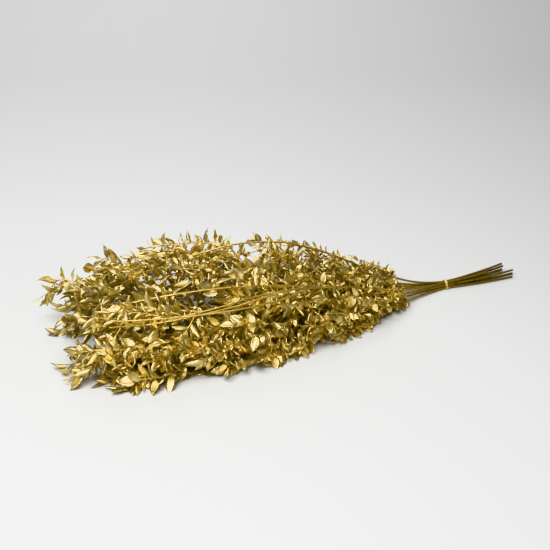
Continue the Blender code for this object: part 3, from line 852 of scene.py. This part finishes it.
class RuscusPaints(bpy.types.PropertyGroup):
    """Colours and finish of the gold spray."""

    leaf_gold: rgb("Leaf gold", "Full paint on leaves", (0.94, 0.765, 0.335))
    thin_gold: rgb("Thin gold", "Thin paint on leaves and on the tie", (0.36, 0.22, 0.025))
    wood_gold: rgb("Stem gold", "Full paint on stems and twigs", (0.75, 0.53, 0.16))
    bare_wood: rgb("Bare wood", "Dry stem under thin paint", (0.12, 0.074, 0.016))
    tie_gold: rgb("Tie gold", "Paint on the tie", (0.80, 0.58, 0.22))
    leaf_thinness: number("Leaf thinness", "How thin the paint's thin patches are on leaves", 0.55)
    wood_thinness: number("Stem thinness", "How thin they are on stems", 0.5)
    tie_thinness: number("Tie thinness", "How thin they are on the tie", 0.3)
    cut_end_thinness: number("Cut end thinness", "What is added to that at the cut ends", 0.4)
    cut_end_darkening: number("Cut end darkening", "Share of bare wood at the cut ends", 0.62)
    leaf_roughness: number("Leaf roughness", "Roughness of leaves", 0.33)
    wood_roughness: number("Stem roughness", "Roughness of stems", 0.40)
    tie_roughness: number("Tie roughness", "Roughness of the tie", 0.34)
    vein_count: number("Veins", "Veins over half a leaf's width", 7)
    vein_depth: metres("Vein depth", "Depth of the veins", 0.00008)
    grit_depth: metres("Grit depth", "Depth of the paint's grit", 0.00006)
    grain_depth: metres("Grain depth", "Depth of the stems' ridges", 0.0003)
    fade_from: metres("Darkens from", "Where along X the stems begin to darken", 0.10)
    fade_to: metres("Darkens to", "Where along X they are darkest", 0.30)


class RuscusStage(bpy.types.PropertyGroup):
    """The pale surface, the light and the camera."""

    floor: rgb("Surface", "Colour of the surface", (0.57, 0.575, 0.568))
    sky: rgb("Sky", "Colour of the light from all round", (0.97, 0.98, 0.98))
    key_power: number("Key light", "Power of the large light", 43.0, unit="POWER")
    back_power: number("Back light", "Power of the rear light", 18.0, unit="POWER")
    ambient: number("Ambient", "Strength of the light from all round at the horizon", 0.05)
    overhead: number("Overhead", "What is added to it straight overhead", 0.30)
    backdrop: number("Backdrop", "What the camera sees beyond the surface", 0.60)
    azimuth: radians("Azimuth", "Turn of the camera about the bunch", math.radians(-19.5))
    elevation: radians("Elevation", "Height of the camera above the horizon", math.radians(27))
    distance: number("Distance", "Camera to target", 1.72, unit="LENGTH")
    view_angle: radians("View angle", "The camera's angle of view", math.radians(27))


SETTINGS = {"ruscus_sizes": RuscusSizes, "ruscus_paints": RuscusPaints, "ruscus_stage": RuscusStage}


class RUSCUS_OT_stems(bpy.types.Operator):
    """Grow the nine leafy stems, each one piece with its twigs and its leaves"""

    bl_idname = "ruscus.stems"
    bl_label = "Grow leafy stems"

    def execute(self, context):
        sizes, paints = context.scene.ruscus_sizes, context.scene.ruscus_paints
        mottle = spray_mottle_group()
        materials = [leaf_material(paints, mottle), wood_material(paints, mottle)]
        for index, stem in enumerate(STEMS):
            seed, skins = SEED + index, Skins()
            twigs, sprigs, branches = grow_twigs()[index], grow_sprigs(index), side_stems(index)
            leaves = grow_leaves(twigs, seed + 100, stem, LEAF_SPACING, 1.0)
            add_leaves(skins, leaves, seed + 200, sizes)
            leaves = grow_leaves(sprigs, seed + 500, stem, SPRIG_LEAF_SPACING, SPRIG_LEAF_SCALE)
            add_leaves(skins, leaves, seed + 600, sizes)
            add_stem(skins, index, sizes)
            add_twigs(skins, twigs, seed + 300, TWIG_FACES)
            add_twigs(skins, sprigs, seed + 700, SPRIG_FACES)
            if branches:
                add_twigs(skins, branches, seed + 800, SIDE_STEM_FACES)
            piece = skins.make(f"gilded_stem_{index + 1}", materials)
            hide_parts(f"leafy_stem_{index + 1}")
            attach(piece, "root")
        return {"FINISHED"}


class RUSCUS_OT_tie(bpy.types.Operator):
    """Wrap the elastic tie round the stems, as turns side by side"""

    bl_idname = "ruscus.tie"
    bl_label = "Wrap the tie"

    def execute(self, context):
        sizes, paints = context.scene.ruscus_sizes, context.scene.ruscus_paints
        mesh = bpy.data.meshes.new("elastic_tie")
        points, quads = self.wrap(sizes.tie_turns)
        mesh.from_pydata(points.tolist(), [], quads.tolist())
        mesh.shade_smooth()
        tones = mesh.attributes.new("tone", "FLOAT", "POINT")
        tones.data.foreach_set("value", np.full(len(points), TIE_TONE))
        finish = (paints.tie_gold, paints.thin_gold, paints.tie_thinness, paints.tie_roughness)
        mottle = bpy.data.node_groups["Spray Mottle"]
        material, tree, _, spray, surface = gilt_material("gilt_tie", mottle, *finish)
        bump(tree, surface, spray.outputs["Grit"], paints.grit_depth)
        mesh.materials.append(material)
        piece = add_object("elastic_tie", mesh)
        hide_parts("tie_band")
        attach(piece, "root")
        return {"FINISHED"}

    def wrap(self, turns):
        """The tie's closed skin: a ribbed profile of so many cords, carried round the stack of stems.

        Its outer part rises by the root of 1 - x squared over each cord, and its inner part is flat.
        """
        places, sides = 4 * TIE_CORNER_POINTS, TIE_PROFILE_POINTS
        i, k = np.meshgrid(np.arange(places), np.arange(sides), indexing="ij")
        turn = k / sides
        outer = turn < TIE_OUTER_SHARE
        sweep = np.where(outer, turn / TIE_OUTER_SHARE, (1 - turn) / (1 - TIE_OUTER_SHARE))
        cord = np.sqrt(np.clip(1 - (2 * ((sweep * turns) % 1) - 1) ** 2, 0, 1))
        rise = np.where(outer, TIE_CORD_LOW + (1 - TIE_CORD_LOW) * cord, TIE_INNER_LIFT)
        across, height = tie_point(STEM_RADIUS + GAP + TIE_THICKNESS * rise, i)
        along = TIE_ALONG + TIE_WIDTH * (sweep - 0.5)
        points = placed(np.stack([along, across, height], -1)).reshape(-1, 3)
        ahead, after = (i + 1) % places, (k + 1) % sides
        quads = np.stack([i, i, ahead, ahead], -1) * sides + np.stack([k, after, after, k], -1)
        return points, quads.reshape(-1, 4)


class RUSCUS_OT_stage(bpy.types.Operator):
    """Set the pale sweep, the soft studio light and the camera"""

    bl_idname = "ruscus.stage"
    bl_label = "Set the stage"

    def execute(self, context):
        stage = context.scene.ruscus_stage
        turn, rise = stage.azimuth, stage.elevation
        right = Vector((math.cos(turn), math.sin(turn), 0))
        level = Vector((math.sin(turn), -math.cos(turn), 0))
        up = Vector((0, 0, 1))
        back = level * math.cos(rise) + up * math.sin(rise)
        target = Vector(placed(np.array(VIEW_TARGET)))

        def seen(place):
            return target + place[0] * right + place[1] * level + place[2] * up

        self.lay_sweep(stage, level, right)
        self.add_light("key", seen(KEY_PLACE), target, stage.key_power)
        self.add_light("rear", seen(BACK_PLACE), seen(BACK_AIM), stage.back_power)
        self.hang_sky(context, stage)
        lens = bpy.data.cameras.new("camera")
        lens.sensor_width = 36.0
        lens.lens = lens.sensor_width / 2 / math.tan(stage.view_angle / 2)
        camera = add_object("camera", lens)
        camera.location = target + stage.distance * back
        camera.rotation_euler = back.to_track_quat("Z", "Y").to_euler()
        context.scene.camera = camera
        context.scene.view_settings.view_transform = "Khronos PBR Neutral"
        return {"FINISHED"}

    def hang_sky(self, context, stage):
        """Light from all round: faint at the horizon, strongest overhead, and pale to the camera."""
        world = bpy.data.worlds.new("studio")
        world.use_nodes = True
        tree = world.node_tree
        sky = tree.nodes["Background"]
        sky.inputs["Color"].default_value = (*stage.sky, 1)
        place = tree.nodes.new("ShaderNodeTexCoord")
        parts = node(tree, "ShaderNodeSeparateXYZ", Vector=place.outputs["Generated"])
        height = ramp(tree, parts.outputs["Z"], *SKY_HEIGHTS)
        strength = math_node(tree, "MULTIPLY_ADD", height, stage.overhead, stage.ambient)
        seen = tree.nodes.new("ShaderNodeLightPath").outputs["Is Camera Ray"]
        strength = math_node(tree, "MULTIPLY_ADD", seen, stage.backdrop, strength)
        tree.links.new(strength, sky.inputs["Strength"])
        context.scene.world = world

    def lay_sweep(self, stage, level, right):
        """The seamless sweep: flat, then a quarter circle up to an upright wall, carried to the right."""
        turns = np.linspace(0, math.pi / 2, SWEEP_TURNS)
        run = SWEEP_REAR + SWEEP_BEND * np.sin(turns)
        run = np.concatenate([[SWEEP_FRONT], run, [SWEEP_REAR + SWEEP_BEND]])
        rise = np.concatenate([[0.0], SWEEP_BEND * (1 - np.cos(turns)), [SWEEP_TOP]])
        reach = np.array([-SWEEP_REACH, SWEEP_REACH])
        points = reach[:, None] * np.array(right) - run[:, None, None] * np.array(level)
        points[..., 2] += rise[:, None]
        i = np.arange(len(run) - 1)
        quads = np.stack([2 * i, 2 * i + 1, 2 * i + 3, 2 * i + 2], -1)
        mesh = bpy.data.meshes.new("sweep")
        mesh.from_pydata(points.reshape(-1, 3).tolist(), [], quads.tolist())
        mesh.shade_smooth()
        paper = bpy.data.materials.new("sweep_paper")
        paper.use_nodes = True
        tree = paper.node_tree
        surface = tree.nodes["Principled BSDF"]
        surface.inputs["Roughness"].default_value = 0.75
        place = tree.nodes.new("ShaderNodeTexCoord")
        soft = node(tree, "ShaderNodeTexNoise", Vector=place.outputs["Object"], Scale=2.0, Detail=1.0)
        shade = (SWEEP_SHADE * value for value in stage.floor)
        tone = mix_colour(tree, soft.outputs["Fac"], (*stage.floor, 1), (*shade, 1))
        tree.links.new(tone, surface.inputs["Base Color"])
        mesh.materials.append(paper)
        sweep = add_object("sweep", mesh)

    def add_light(self, name, place, aim, power):
        """A square soft light at a place, turned to what it is aimed at."""
        light = bpy.data.lights.new(name, "AREA")
        light.size = LIGHT_SIZE
        light.energy = power
        holder = add_object(name, light)
        holder.location = place
        holder.rotation_euler = (place - aim).to_track_quat("Z", "Y").to_euler()


class RUSCUS_PT_panel(bpy.types.Panel):
    """The bunch's sizes, colours and steps"""

    bl_idname = "RUSCUS_PT_panel"
    bl_label = "Gilded Ruscus"
    bl_space_type = "VIEW_3D"
    bl_region_type = "UI"
    bl_category = "Ruscus"

    def draw(self, context):
        for name in SETTINGS:
            box = self.layout.box()
            group = getattr(context.scene, name)
            for key in group.__annotations__:
                box.prop(group, key)
        for operator in ("ruscus.stems", "ruscus.tie", "ruscus.stage"):
            self.layout.operator(operator)


CLASSES = (
    RuscusSizes,
    RuscusPaints,
    RuscusStage,
    RUSCUS_OT_stems,
    RUSCUS_OT_tie,
    RUSCUS_OT_stage,
    RUSCUS_PT_panel,
)


def register():
    for cls in CLASSES:
        bpy.utils.register_class(cls)
    for name, group in SETTINGS.items():
        setattr(bpy.types.Scene, name, PointerProperty(type=group))


def unregister():
    for name in SETTINGS:
        delattr(bpy.types.Scene, name)
    for cls in reversed(CLASSES):
        bpy.utils.unregister_class(cls)


def main():
    register()
    bpy.ops.ruscus.stems()
    bpy.ops.ruscus.tie()
    bpy.ops.ruscus.stage()


if __name__ == "__main__":
    main()
